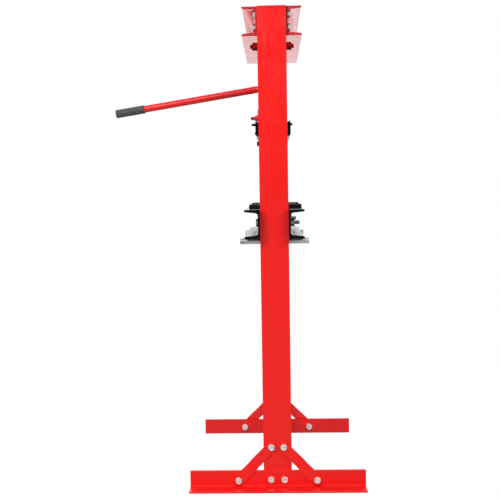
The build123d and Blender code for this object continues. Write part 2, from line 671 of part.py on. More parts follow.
def handle_socket():
    """The forked lever, from its two cheeks at the pivot to the spigot that fills the handle's tube."""
    body = Pos(0, 0, YOKE_FROM) * Cylinder(YOKE_R, YOKE_END - YOKE_FROM, align=BASE_ALIGN)
    waist = Pos(YOKE_FROM, 0) * Rectangle(1, 2 * CHEEK_WAIST)
    side_view = make_hull([*Circle(CHEEK_R).edges(), *waist.edges()])
    place = Plane(origin=(0, 0, 0), x_dir=(0, 0, 1), z_dir=(1, 0, 0))
    body += extrude(place.location * side_view, amount=CHEEK_OUT, both=True)
    body += Pos(0, 0, YOKE_END) * Cylinder(SPIGOT_R, SPIGOT_END - YOKE_END, align=BASE_ALIGN)
    body -= Box(2 * CHEEK_IN, 4 * YOKE_R, 2 * YOKE_THROAT)
    body -= Rot(0, 90, 0) * Cylinder(PIN_SMALL_R + RUNNING, CUT)
    body -= Pos(0, 0, pump_arm()) * Rot(0, 90, 0) * Cylinder(PIN_SMALL_R, CUT)
    return handle_frame().location * body


def pivot_pin():
    return Pos(0, PIVOT_Y, PIVOT_Z) * Rot(0, 90, 0) * Cylinder(PIN_SMALL_R, 2 * (EAR_X[1] + PIVOT_PIN_OUT))


def plunger_pin():
    pin = Pos(0, 0, pump_arm()) * Rot(0, 90, 0) * Cylinder(PIN_SMALL_R, 2 * CHEEK_OUT)
    return handle_frame().location * pin


def handle_tube():
    inner, outer = TUBE_R
    body = Pos(0, 0, TUBE_FROM) * Cylinder(outer, TUBE_END - TUBE_FROM, align=BASE_ALIGN)
    body -= Pos(0, 0, TUBE_FROM) * Cylinder(inner, TUBE_END - TUBE_FROM, align=BASE_ALIGN)
    return handle_frame().location * body


def handle_grip():
    """A rubber sleeve, closed and rounded at its end."""
    sleeve = Pos(0, 0, GRIP_FROM) * Cylinder(GRIP_R, GRIP_END - GRIP_FROM, align=BASE_ALIGN)
    sleeve = fillet(sleeve.edges().group_by(Axis.Z)[-1], GRIP_ROUND)
    sleeve -= Pos(0, 0, GRIP_FROM) * Cylinder(TUBE_R[1], TUBE_END - GRIP_FROM, align=BASE_ALIGN)
    return handle_frame().location * sleeve


def save_frame():
    for name, side in SIDES.items():
        save(f"post_{name}", post(side))
        save(f"foot_{name}", foot(side))
        save(f"return_spring_{name}", return_spring(side))
        for end_name, end in ENDS.items():
            save(f"brace_{name}_{end_name}", brace(side, end))
    for name, end in ENDS.items():
        save(f"head_channel_{name}", head_channel(end))
    save("lower_tie", lower_tie())
    wide, deep, thick = REACTION_PLATE
    save("reaction_plate", Pos(0, 0, HEAD_BOTTOM + thick / 2) * Box(wide, deep, thick))
    save("saddle_ring", ring((0, PRESS_Y, HEAD_BOTTOM), reverse(UP), *reversed(RING_R), RING_THICK))
    bolts, washers, nuts = base_fasteners()
    save("base_bolts", *bolts)
    save("base_washers", *washers)
    save("base_nuts", *nuts)
    bolts, washers, nuts = head_fasteners()
    save("head_bolts", *bolts)
    save("head_washers", *washers)
    save("head_nuts", *nuts)
    save("frame_stud", rod((BOLT_LINE, -STUD_HALF, STUD_HEIGHT), (0, 1, 0), M12[0], 2 * STUD_HALF))
    save("frame_stud_nuts", *stud_nuts())
    save("head_spring_rods", *spring_rods(SPRING_HIGH_Z, HEAD_ROD_Y, POST_HALF))


def save_bed():
    for name, end in ENDS.items():
        save(f"bed_channel_{name}", bed_channel(end))
    spacers, bolts, nuts = bed_fasteners()
    save("bed_spacers", *spacers)
    save("bed_bolts", *bolts)
    save("bed_nuts", *nuts)
    for name, side in SIDES.items():
        pin = rod((side * BOLT_LINE, -PIN_LENGTH / 2, PIN_Z), (0, 1, 0), PIN_R, PIN_LENGTH)
        save(f"bed_pin_{name}", chamfer(pin.edges().filter_by(GeomType.CIRCLE), PIN_CHAMFER))
        save(f"arbor_plate_{name}", arbor_plate(side))


def save_carriage():
    save("carriage_beam", carriage_beam())
    save("carriage_ends", *[carriage_end(side) for side in SIDES.values()])
    save("guide_shoes", *[guide_shoe(side) for side in SIDES.values()])
    wall = BEAM_HALF_WIDTH - BEAM_WALL
    save("carriage_spring_rods", *spring_rods(SPRING_LOW_Z, CARRIAGE_ROD_Y, wall))
    save("ram_block", ram_block())
    save("ram_holder", ram_holder())
    save("ram", ram())
    save("ram_set_screw", ram_set_screw())


def save_jack():
    save("jack_base", jack_base())
    length = FLANGE_TOP - BEAM_TOP + JACK_BOLT_DEPTH
    save("jack_base_bolts", *[bolt((x, y, FLANGE_TOP), reverse(UP), M8, length) for x, y in JACK_BOLTS])
    save("jack_tank", jack_tank())
    save("jack_oil_plug", jack_oil_plug())
    cylinder = ring((0, PRESS_Y, BASE_TOP), UP, CYLINDER_R, PISTON_R + RUNNING, TANK_TOP - BASE_TOP)
    save("jack_cylinder", cylinder)
    save("jack_cap", jack_cap())
    save("jack_piston", jack_piston())
    save("extension_screw", extension_screw())
    save("release_valve", release_valve())
    save("fulcrum_bracket", fulcrum_bracket())
    save("pump_cylinder", pump_cylinder())
    save("pump_plunger", pump_plunger())
    save("pivot_pin", pivot_pin())
    save("plunger_pin", plunger_pin())
    save("handle_socket", handle_socket())
    save("handle_tube", handle_tube())
    save("handle_grip", handle_grip())


os.makedirs("parts", exist_ok=True)
save_frame()
save_bed()
save_carriage()
save_jack()
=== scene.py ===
import json
from math import cos, pi, radians, sin, tan

import bmesh
import bpy
from mathutils import Matrix, Vector

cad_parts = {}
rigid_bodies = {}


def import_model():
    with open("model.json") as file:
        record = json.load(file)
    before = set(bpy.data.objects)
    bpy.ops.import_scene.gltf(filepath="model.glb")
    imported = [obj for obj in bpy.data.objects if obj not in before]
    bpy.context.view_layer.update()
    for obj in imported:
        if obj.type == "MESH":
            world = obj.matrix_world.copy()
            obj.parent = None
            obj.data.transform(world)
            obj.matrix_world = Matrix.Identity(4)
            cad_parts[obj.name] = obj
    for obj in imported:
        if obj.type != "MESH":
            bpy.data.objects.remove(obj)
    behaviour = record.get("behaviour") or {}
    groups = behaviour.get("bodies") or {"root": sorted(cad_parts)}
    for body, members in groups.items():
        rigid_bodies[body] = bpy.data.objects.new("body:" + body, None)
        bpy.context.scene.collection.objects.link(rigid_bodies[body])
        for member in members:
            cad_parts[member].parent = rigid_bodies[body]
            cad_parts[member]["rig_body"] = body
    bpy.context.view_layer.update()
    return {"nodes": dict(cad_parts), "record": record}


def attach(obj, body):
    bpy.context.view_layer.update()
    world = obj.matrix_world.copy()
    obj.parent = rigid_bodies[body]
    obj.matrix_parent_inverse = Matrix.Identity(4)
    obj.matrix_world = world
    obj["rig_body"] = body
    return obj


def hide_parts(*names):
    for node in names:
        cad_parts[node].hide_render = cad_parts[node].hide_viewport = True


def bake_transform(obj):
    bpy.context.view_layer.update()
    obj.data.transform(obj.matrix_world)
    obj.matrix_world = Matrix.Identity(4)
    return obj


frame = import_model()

# A hydraulic shop press seen from its right-hand side. Everything is in metres, in the CAD model's frame.

MM = 0.001
SIDES = {"left": -1, "right": 1}

# Meshes: how close vertices are when they are joined, how flat faces are when they are made one,
# and the angles from which an edge is shaded sharp, and is broken
CAD_WELD = 0.002 * MM
MESH_WELD = 0.001 * MM
FLAT_ANGLE = radians(0.6)
SMOOTH_ANGLE = radians(32)
BREAK_ANGLE = radians(40)

# How far sharp edges are broken on heavy steel, small steel, washers and bars, and fine turned parts
HEAVY_BREAK = 0.6 * MM
SMALL_BREAK = 0.5 * MM
FINE_BREAK = 0.3 * MM
TURNED_BREAK = 0.2 * MM

# Camera: about two and a half metres out on +X, a little above the bed, looking slightly down.
# It is turned by its roll, then tilted up from straight down, then panned round from +Y
CAMERA_AT = Vector((2.5544, -0.00185, 0.84787))
CAMERA_ROLL = radians(-0.945)
CAMERA_TILT = radians(85.802)
CAMERA_PAN = radians(91.681)
CAMERA_LENS = 59.22

# Studio: how bright its dark side and the floor's are, how much light the floor throws back, and the
# floor's half width
STUDIO_DIM = 0.2
FLOOR_DIM = 0.4
FLOOR_BOUNCE = 0.32
FLOOR_HALF = 14.0

# Standard hexagon hardware: thread radius, across flats, head height, nut height, thread pitch
M8 = (4.0 * MM, 13.0 * MM, 5.3 * MM, 6.8 * MM, 1.25 * MM)
M10 = (5.0 * MM, 17.0 * MM, 6.4 * MM, 8.4 * MM, 1.5 * MM)
M12 = (6.0 * MM, 19.0 * MM, 7.5 * MM, 10.5 * MM, 1.75 * MM)

# Heads and nuts: the turned circle as a share of the flats, the slope of the turned corners, and the dish
# in a head
HEX_TURNED = 0.95
HEX_SLOPE = tan(radians(30))
HEX_DISH = 0.25 * MM
HEX_DISH_RIM = 0.8
HEX_DISH_FLOOR = 0.72
HEX_SIDES = 48

# Threads: their depth and rows of points for each pitch, and shanks and nut bores as a share of their radius
THREAD_DEPTH = 0.6
THREAD_STEPS = 6
THREAD_SIDES = 24
SHANK = 0.985
SHANK_SIDES = 32
BORE = 0.98

# Return springs: closed coils hung between a rod in the head and a rod in the carriage
SPRING_X = 185.0 * MM
SPRING_EYES = (1032.0 * MM, 1300.0 * MM)
SPRING_COILS = (1045.2 * MM, 1286.8 * MM)
SPRING_MEAN_R = 7.8 * MM
SPRING_WIRE_R = 1.15 * MM
WIRE_SIDES = 8
SPRING_EYE_R = 6.0 * MM
SPRING_TURNS = 96
COIL_STEPS = 14

# A spring's hook, in degrees round its rod: where it meets the coils, and how far it turns
HOOK_START = 90
HOOK_TURN = 320
HOOK_STEPS = 20

# Pump lever: the pivot, the fall of its axis for each unit along -Y, and its tube and grip from the pivot
PIVOT = Vector((0, -28.0 * MM, 1157.0 * MM))
HANDLE_SLOPE = 0.154
TUBE_R = 10.65 * MM
TUBE_END = 458.0 * MM
GRIP_FROM = 371.0 * MM
GRIP_END = 461.0 * MM
GRIP_R = 12.7 * MM

# Grip: its soft ends and plain bands, and the grooves that cut its sleeve into diamonds
GRIP_LIP = 0.8 * MM
GRIP_ROUND = 3.0 * MM
GRIP_BAND = 5.0 * MM
GRIP_GROOVE = 0.45 * MM
GRIP_ROWS = 110
DIAMOND = 3.2 * MM
DIAMONDS_ROUND = 12

# Knurled knobs: centre line, where the knob starts and ends along -Y, and its radius.
# Their stems: radius, and where the stem starts along -Y
VALVE = (Vector((20.0 * MM, 0, 1064.2 * MM)), 59.7 * MM, 66.6 * MM, 4.8 * MM)
SET_SCREW = (Vector((0, 0, 988.0 * MM)), 42.0 * MM, 50.0 * MM, 6.5 * MM)
VALVE_STEM = (3.9 * MM, 24.0 * MM)
SET_SCREW_STEM = (4.9 * MM, 7.5 * MM)
KNURLS = 22

# Head channels: where their sawn ends start along X, the rear web's two faces along Y, and how far the
# colours fade into each other. The dark colour on the rear web's end is painted shade.
HEAD_END = 249.9 * MM
SAWN_FADE = 0.6 * MM
REAR_WEB = (39 * MM, 45 * MM)
WEB_SHADE_FADE = 1 * MM


# ---------------------------------------------------------------- materials

class Shader:
    """A Principled material with short helpers for its procedural nodes."""

    def __init__(self, name, **values):
        self.material = bpy.data.materials.new(name)
        self.material.use_nodes = True
        self.tree = self.material.node_tree
        self.bsdf = self.tree.nodes["Principled BSDF"]
        for key, value in values.items():
            self.bsdf.inputs[key.replace("_", " ")].default_value = value
        self.place = self.node("ShaderNodeTexCoord").outputs["Object"]

    def node(self, kind, inputs=(), **settings):
        made = self.tree.nodes.new(kind)
        for key, value in settings.items():
            setattr(made, key, value)
        for key, value in dict(inputs).items():
            if isinstance(value, bpy.types.NodeSocket):
                self.tree.links.new(value, made.inputs[key])
            else:
                made.inputs[key].default_value = value
        return made

    def noise(self, scale, detail=4.0, stretch=(1, 1, 1)):
        """Noise in object space, from 0 to 1, drawn out along an axis where stretch is under 1."""
        point = self.node("ShaderNodeMapping", {"Vector": self.place, "Scale": stretch}).outputs[0]
        inputs = {"Vector": point, "Scale": scale, "Detail": detail}
        return self.node("ShaderNodeTexNoise", inputs).outputs["Fac"]

    def ramp(self, value, low, high, start=0.0, end=1.0):
        inputs = {"Value": value, "From Min": low, "From Max": high, "To Min": start, "To Max": end}
        return self.node("ShaderNodeMapRange", inputs, clamp=True).outputs[0]

    def mix(self, factor, first, second):
        made = self.node("ShaderNodeMix", {0: factor}, data_type="RGBA")
        for index, colour in ((6, first), (7, second)):
            if isinstance(colour, bpy.types.NodeSocket):
                self.tree.links.new(colour, made.inputs[index])
            else:
                made.inputs[index].default_value = (*colour, 1)
        return made.outputs[2]

    def math(self, operation, first, second=0.0):
        return self.node("ShaderNodeMath", {0: first, 1: second}, operation=operation).outputs[0]

    def colour(self, socket):
        self.tree.links.new(socket, self.bsdf.inputs["Base Color"])

    def roughness(self, socket):
        self.tree.links.new(socket, self.bsdf.inputs["Roughness"])

    def bump(self, socket, distance, strength):
        """Adds a bump on top of any that is already there."""
        inputs = {"Height": socket, "Distance": distance, "Strength": strength}
        earlier = self.bsdf.inputs["Normal"].links
        if earlier:
            inputs["Normal"] = earlier[0].from_socket
        made = self.node("ShaderNodeBump", inputs).outputs[0]
        self.tree.links.new(made, self.bsdf.inputs["Normal"])


def paint(name, deep, fresh, gloss=0.24, coat=0.2, shine=0.5, haze=0.07, ends=None):
    """Sprayed gloss enamel: slow colour drift, orange peel, and faint dust and scuffs in the sheen.

    ends holds two colours for the head channels' sawn ends: a darker red on the flanges' ends, then painted
    shade on the rear web's end.
    """
    shader = Shader(name, Coat_Weight=coat, Coat_Roughness=haze, IOR=1.48, Specular_IOR_Level=shine)
    drift = shader.ramp(shader.noise(5.0, 3.0, (1, 1, 0.25)), 0.35, 0.65)
    base = shader.mix(drift, deep, fresh)
    if ends:
        # Strips at the channels' ends: a darker red on the flanges' sawn ends, and painted shade on the rear
        # web's end beside the post.
        split = shader.node("ShaderNodeSeparateXYZ", {"Vector": shader.place})
        out = shader.math("ABSOLUTE", split.outputs["X"])
        end = shader.ramp(out, HEAD_END - SAWN_FADE, HEAD_END)
        web_shade_inner = shader.ramp(split.outputs["Y"], REAR_WEB[1] + WEB_SHADE_FADE, REAR_WEB[1])
        web_shade_outer = shader.ramp(split.outputs["Y"], REAR_WEB[0] - WEB_SHADE_FADE, REAR_WEB[0])
        end_red_and_web_shade = shader.mix(shader.math("MULTIPLY", web_shade_inner, web_shade_outer), *ends)
        base = shader.mix(end, base, end_red_and_web_shade)
    shader.colour(base)
    scuff = shader.ramp(shader.noise(60.0, 6.0, (1, 1, 0.15)), 0.5, 0.8)
    mottle = shader.ramp(shader.noise(18.0), 0.3, 0.7, gloss - 0.05, gloss + 0.06)
    shader.roughness(shader.math("ADD", mottle, shader.math("MULTIPLY", scuff, 0.1)))
    shader.bump(shader.noise(420.0, 2.0), 0.00006, 0.4)
    shader.bump(shader.noise(9.0, 2.0, (1, 1, 0.4)), 0.0003, 0.06)
    return shader.material


def zinc(name, metallic, dark, light):
    """Bright zinc plate with cloudy passivation and fine tool marks."""
    shader = Shader(name, Metallic=metallic)
    cloud = shader.ramp(shader.noise(160.0, 3.0), 0.35, 0.65)
    shader.colour(shader.mix(cloud, dark, light))
    shader.roughness(shader.ramp(shader.noise(220.0, 5.0), 0.3, 0.7, 0.25, 0.45))
    shader.bump(shader.noise(900.0, 3.0), 0.00003, 0.5)
    return shader.material


def ground_steel(name, dark, light, rough, grain=(1, 0.02, 1), metallic=1.0):
    """Drawn or ground bar with fine marks across its length and a few darker oil stains."""
    shader = Shader(name, Metallic=metallic)
    stain = shader.ramp(shader.noise(25.0, 5.0), 0.42, 0.75)
    shader.colour(shader.mix(stain, light, dark))
    marks = shader.noise(1500.0, 2.0, grain)
    shader.roughness(shader.ramp(marks, 0.3, 0.7, rough - 0.07, rough + 0.09))
    shader.bump(marks, 0.00003, 0.4)
    return shader.material


def grip_rubber(name):
    """Moulded rubber: near-black grey, dusty on its high spots, with a fine grain."""
    shader = Shader(name, IOR=1.5, Sheen_Weight=0.25)
    speckle = shader.ramp(shader.noise(520.0, 3.0), 0.42, 0.68)
    shader.colour(shader.mix(speckle, (0.036, 0.036, 0.037), (0.092, 0.092, 0.095)))
    shader.roughness(shader.ramp(shader.noise(240.0), 0.3, 0.7, 0.55, 0.75))
    shader.bump(shader.noise(900.0, 4.0), 0.00025, 0.6)
    return shader.material


PAINTS = {
    "red_paint": dict(deep=(0.86, 0.005, 0.004), fresh=(0.90, 0.007, 0.005)),
    # The head channels' ends: a darker red on the flanges, and painted shade on the rear web's end.
    "red_paint_head_shaded_web": dict(deep=(0.86, 0.005, 0.006), fresh=(0.90, 0.007, 0.008), coat=0.8, haze=0.2,
                           ends=((0.48, 0.008, 0.014), (0.12, 0.002, 0.004))),
    "red_paint_feet": dict(deep=(0.84, 0.005, 0.004), fresh=(0.88, 0.007, 0.005), gloss=0.34, coat=0.12),
    "jack_red": dict(deep=(0.62, 0.010, 0.020), fresh=(0.74, 0.016, 0.030), gloss=0.3),
    "handle_red": dict(deep=(0.74, 0.006, 0.008), fresh=(0.82, 0.010, 0.012), gloss=0.3, coat=0.0),
    "painted_studs": dict(deep=(0.20, 0.0005, 0.001), fresh=(0.34, 0.001, 0.003), gloss=0.5, coat=0.0,
                          shine=0.08),
    "valve_crimson": dict(deep=(0.10, 0.003, 0.014), fresh=(0.18, 0.006, 0.025), gloss=0.4),
    "black_paint": dict(deep=(0.0015, 0.0015, 0.0016), fresh=(0.003, 0.003, 0.003), coat=0.0, shine=0.22),
    "plate_black": dict(deep=(0.001, 0.001, 0.001), fresh=(0.003, 0.003, 0.003), gloss=0.75, coat=0.0,
                        shine=0.3),
}
ZINCS = {
    "zinc_fasteners": dict(metallic=0.38, dark=(0.62, 0.62, 0.60), light=(0.97, 0.97, 0.95)),
    # The same zinc drawn darker, as painted shade, for the bolts and nuts that sit between the head and bed
    # channels.
    "zinc_painted_shade": dict(metallic=1.0, dark=(0.34, 0.30, 0.32), light=(0.70, 0.68, 0.69)),
}
STEELS = {
    "bright_steel": dict(dark=(0.50, 0.50, 0.50), light=(0.80, 0.80, 0.81), rough=0.3, metallic=0.75),
    "polished_steel": dict(dark=(0.34, 0.34, 0.36), light=(0.56, 0.56, 0.58), rough=0.16),
    "spring_steel": dict(dark=(0.20, 0.20, 0.21), light=(0.42, 0.42, 0.44), rough=0.34, grain=(1, 1, 1)),
}
MATERIALS = {name: paint(name, **look) for name, look in PAINTS.items()}
MATERIALS |= {name: zinc(name, **look) for name, look in ZINCS.items()}
MATERIALS |= {name: ground_steel(name, **look) for name, look in STEELS.items()}
MATERIALS |= {name: grip_rubber(name) for name in ("grip_rubber", "plug_rubber")}
SLOT_OF = {part["node"]: part["material_slot"] for part in frame["record"]["subparts"]}
# Looks of their own: the head channels' ends and the head and bed bolts and nuts carry painted shade.
LOOK_OF = {"foot_left": "red_paint_feet", "foot_right": "red_paint_feet",
           "head_channel_front": "red_paint_head_shaded_web", "head_channel_rear": "red_paint_head_shaded_web",
           "arbor_plate_left": "plate_black", "arbor_plate_right": "plate_black",
           "head_bolts": "zinc_painted_shade", "bed_bolts": "zinc_painted_shade", "bed_nuts": "zinc_painted_shade"}


def look_of(node):
    """A CAD node's material: its own look where it has one, or else its slot's."""
    return MATERIALS[LOOK_OF.get(node, SLOT_OF[node])]


# ---------------------------------------------------------------- mesh tools

def stand_in(node, mesh, rides=True):
    """Links a mesh as the piece that stands for a CAD node, on its body and with its material."""
    piece = bpy.data.objects.new(mesh.name, mesh)
    bpy.context.scene.collection.objects.link(piece)
    mesh.materials.clear()
    mesh.materials.append(look_of(node))
    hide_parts(node)
    if rides:
        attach(piece, frame["nodes"][node]["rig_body"])
    return piece


def finish_mesh(bm, name, angle=SMOOTH_ANGLE):
    bmesh.ops.remove_doubles(bm, verts=bm.verts, dist=MESH_WELD)
    bmesh.ops.recalc_face_normals(bm, faces=bm.faces)
    mesh = bpy.data.meshes.new(name)
    bm.to_mesh(mesh)
    bm.free()
    mesh.shade_smooth()
    mesh.set_sharp_from_angle(angle=angle)
    return mesh


def merged(node):
    """A CAD node's mesh with its doubled vertices joined and its flat faces made whole."""
    bm = bmesh.new()
    bm.from_mesh(frame["nodes"][node].data)
    bmesh.ops.remove_doubles(bm, verts=bm.verts, dist=CAD_WELD)
    bmesh.ops.dissolve_limit(bm, angle_limit=FLAT_ANGLE, verts=bm.verts, edges=bm.edges)
    return bm


def broken_edges(node, width=HEAVY_BREAK):
    """Replaces a steel node by the same shape with its sharp edges broken."""
    piece = stand_in(node, finish_mesh(merged(node), node + "_steel"))
    bevel = piece.modifiers.new("edge_break", "BEVEL")
    bevel.width = width
    bevel.segments = 2
    bevel.limit_method = "ANGLE"
    bevel.angle_limit = BREAK_ANGLE
    bevel.harden_normals = True
    bevel.use_clamp_overlap = True


def islands(node):
    """The lowest and highest corner, and the vertices, of each solid of a CAD node.

    Solids that share a vertex, such as a nut and its washer with the same bore, count as one.
    """
    bm = bmesh.new()
    bm.from_mesh(frame["nodes"][node].data)
    bmesh.ops.remove_doubles(bm, verts=bm.verts, dist=CAD_WELD)
    bm.verts.ensure_lookup_table()
    seen, found = set(), []
    for vertex in bm.verts:
        if vertex.index in seen:
            continue
        seen.add(vertex.index)
        stack, group = [vertex], []
        while stack:
            here = stack.pop()
            group.append(here.co.copy())
            for edge in here.link_edges:
                other = edge.other_vert(here)
                if other.index not in seen:
                    seen.add(other.index)
                    stack.append(other)
        low = Vector([min(p[i] for p in group) for i in range(3)])
        high = Vector([max(p[i] for p in group) for i in range(3)])
        found.append((low, high, group))
    bm.free()
    return found


def bridge(bm, first, second):
    """Faces between two rings of the same number of vertices, or between a ring and a single point."""
    count = max(len(first), len(second))
    for k in range(count):
        following = (k + 1) % count
        if len(first) == 1:
            bm.faces.new((first[0], second[following], second[k]))
        elif len(second) == 1:
            bm.faces.new((first[k], first[following], second[0]))
        else:
            bm.faces.new((first[k], first[following], second[following], second[k]))


def lathe(bm, profile, sides, place, shape=None):
    """Turns (radius, z) points round Z. shape(radius, z, angle) may move each point in radius and z."""
    rings = []
    for radius, z in profile:
        if radius == 0:
            rings.append([bm.verts.new(place @ Vector((0, 0, z)))])
            continue
        ring = []
        for k in range(sides):
            angle = 2 * pi * k / sides
            r, h = shape(radius, z, angle) if shape else (radius, z)
            ring.append(bm.verts.new(place @ Vector((r * cos(angle), r * sin(angle), h))))
        rings.append(ring)
    for first, second in zip(rings, rings[1:]):
        bridge(bm, first, second)


def axis_place(origin, direction):
    """A matrix whose Z runs along a direction from a point."""
    return Matrix.Translation(origin) @ Vector(direction).to_track_quat("Z", "Y").to_matrix().to_4x4()


def hex_radius(flats, angle):
    sector = (angle + pi / 6) % (pi / 3) - pi / 6
    return flats / 2 / cos(sector)


def hexagon_head(bm, flats, height, place):
    """A forged head that stands on z = 0 and points to -Z, with its corners turned and a shallow dish."""
    turned = flats / 2 * HEX_TURNED

    def shape(radius, z, angle):
        if radius < flats / 2:
            return radius, z
        edge = hex_radius(flats, angle)
        if z == 0:
            return edge, 0
        return edge, z + (edge - turned) * HEX_SLOPE

    floor_z = HEX_DISH - height
    profile = [(0, 0), (flats / 2, 0), (flats / 2, -height), (turned, -height)]
    dish = [(turned * HEX_DISH_RIM, -height), (turned * HEX_DISH_FLOOR, floor_z), (0, floor_z)]
    lathe(bm, profile + dish, HEX_SIDES, place, shape)


def thread(bm, radius, pitch, start, end, place):
    """A helical thread from start to end along Z, with a chamfered, closed tip at each end."""
    depth = THREAD_DEPTH * pitch
    count = int((end - start) / pitch * THREAD_STEPS)
    turns = [(radius, start + (end - start) * i / count) for i in range(count + 1)]

    def ridge(r, z, angle):
        if r < radius:
            return r, z
        crest = abs(2 * ((z / pitch - angle / (2 * pi)) % 1) - 1)
        tip = min(1.0, (end - z) / pitch, (z - start) / pitch)
        return radius - depth * (1 - crest * max(0.0, tip)), z

    core = radius - depth
    lathe(bm, [(0, start), (core, start), *turns, (core, end), (0, end)], THREAD_SIDES, place, ridge)


def detailed_bolts(node, size, axis, thread_share=0.45):
    """Replaces a node of plain bolts by bolts with forged heads and cut threads, each in its bolt's place."""
    radius, flats, head, _, pitch = size
    bm = bmesh.new()
    for low, high, points in islands(node):
        middle = (low + high) / 2
        end_width = {}
        for end, at in ((-1, low[axis]), (1, high[axis])):
            near = [p for p in points if abs(p[axis] - at) < head * 0.7]
            end_width[end] = max((p - middle).length_squared - (p[axis] - middle[axis]) ** 2 for p in near)
        head_end = max(end_width, key=end_width.get)
        direction = Vector([-head_end if i == axis else 0 for i in range(3)])
        seat = middle.copy()
        seat[axis] = (high if head_end > 0 else low)[axis] - head_end * head
        length = high[axis] - low[axis] - head
        place = axis_place(seat, direction)
        hexagon_head(bm, flats, head, place)
        plain = length * (1 - thread_share)
        shank = [(0, 0), (radius * SHANK, 0), (radius * SHANK, plain), (0, plain)]
        lathe(bm, shank, SHANK_SIDES, place)
        thread(bm, radius, pitch, plain, length, place)
    stand_in(node, finish_mesh(bm, node + "_cut"))


def hexagon_nut(bm, radius, flats, height, place):
    """A nut that stands on z = 0 and points to +Z, with both its ends turned."""
    turned = flats / 2 * HEX_TURNED

    def shape(r, z, angle):
        if r < flats / 2:
            return r, z
        edge = hex_radius(flats, angle)
        drop = (edge - turned) * HEX_SLOPE
        return edge, z + (drop if z < height / 2 else -drop)

    bore = radius * BORE
    profile = [(bore, 0), (turned, 0), (flats / 2, 0), (flats / 2, height), (turned, height), (bore, height)]
    lathe(bm, profile + [(bore, 0)], HEX_SIDES, place, shape)


def detailed_rods_and_nuts(node, size, axis=1):
    """Replaces a node of rods and nuts by threaded rods and turned nuts.

    A washer that islands() takes with its nut is drawn as part of the nut.
    """
    radius, flats, _, height, pitch = size
    bm = bmesh.new()
    for low, high, _ in islands(node):
        long = high[axis] - low[axis]
        start = (low + high) / 2
        start[axis] = low[axis]
        place = axis_place(start, [1 if i == axis else 0 for i in range(3)])
        if long > 4 * height:
            thread(bm, radius, pitch, 0, long, place)
        else:
            hexagon_nut(bm, radius, flats, long, place)
    stand_in(node, finish_mesh(bm, node + "_cut"))


def tube(bm, path, radius):
    """A round wire along a list of points."""
    rings = []
    up = None
    for i, point in enumerate(path):
        before = path[max(i - 1, 0)]
        after = path[min(i + 1, len(path) - 1)]
        along = (after - before).normalized()
        if up is None:
            up = along.orthogonal().normalized()
        up = (up - along * up.dot(along)).normalized()
        side = along.cross(up)
        turns = [2 * pi * k / WIRE_SIDES for k in range(WIRE_SIDES)]
        rings.append([bm.verts.new(point + radius * (cos(a) * up + sin(a) * side)) for a in turns])
    for first, second in zip(rings, rings[1:]):
        bridge(bm, first, second)
    bm.faces.new(rings[0])
    bm.faces.new(reversed(rings[-1]))


# ---------------------------------------------------------------- pieces

def steelwork():
    """Rolled, bent and cut steel keeps its CAD shape, with its edges broken."""
    small = ("guide_shoes", "carriage_ends", "jack_base", "jack_cap", "handle_socket", "fulcrum_bracket")
    made_elsewhere = ("carriage_spring_rods", "ram_set_screw")
    for node in frame["nodes"]:
        if SLOT_OF[node] in ("red_paint", "black_paint") and node not in small + made_elsewhere:
            broken_edges(node)
    for node in small:
        broken_edges(node, SMALL_BREAK)
    for node in ("bed_pin_left", "bed_pin_right", "ram", "jack_tank", "jack_piston"):
        broken_edges(node, FINE_BREAK)
    for node in ("extension_screw", "pump_plunger", "pivot_pin", "plunger_pin"):
        broken_edges(node, TURNED_BREAK)


def fasteners():
    detailed_bolts("base_bolts", M10, 0)
    detailed_bolts("head_bolts", M12, 1)
    detailed_bolts("bed_bolts", M12, 1, 0.3)
    detailed_bolts("jack_base_bolts", M8, 2)
    for node, size in (("frame_stud", M12), ("frame_stud_nuts", M12), ("head_nuts", M12), ("bed_nuts", M12)):
        detailed_rods_and_nuts(node, size)
    for node in ("head_spring_rods", "carriage_spring_rods"):
        detailed_rods_and_nuts(node, M8)
    detailed_rods_and_nuts("base_nuts", M10, 0)
    for node in ("base_washers", "head_washers"):
        broken_edges(node, FINE_BREAK)


def spring_path(x):
    """From the carriage's rod to the head's: a hook, closed coils, and a hook."""
    low_eye, high_eye = SPRING_EYES
    low, high = SPRING_COILS
    start = Vector((x, 0, 0))
    points = []
    hook = [radians(HOOK_START - HOOK_TURN * (1 - i / HOOK_STEPS)) for i in range(HOOK_STEPS + 1)]
    for angle in hook:
        points.append(start + Vector((SPRING_EYE_R * cos(angle), 0, low_eye + SPRING_EYE_R * sin(angle))))
    total = SPRING_TURNS * COIL_STEPS
    lead = COIL_STEPS // 2
    for i in range(-lead, total + lead + 1):
        inside = min(1.0, (i + lead) / lead, (total + lead - i) / lead)
        radius = SPRING_MEAN_R * max(0.0, inside)
        share = min(1.0, max(0.0, i / total))
        angle = 2 * pi * i / COIL_STEPS
        over = SPRING_WIRE_R * (max(0.0, -i / lead) - max(0.0, (i - total) / lead)) * -2
        z = low + (high - low) * share + over
        points.append(start + Vector((radius * cos(angle), radius * sin(angle), z)))
    for angle in reversed(hook):
        points.append(start + Vector((SPRING_EYE_R * cos(angle), 0, high_eye - SPRING_EYE_R * sin(angle))))
    return points


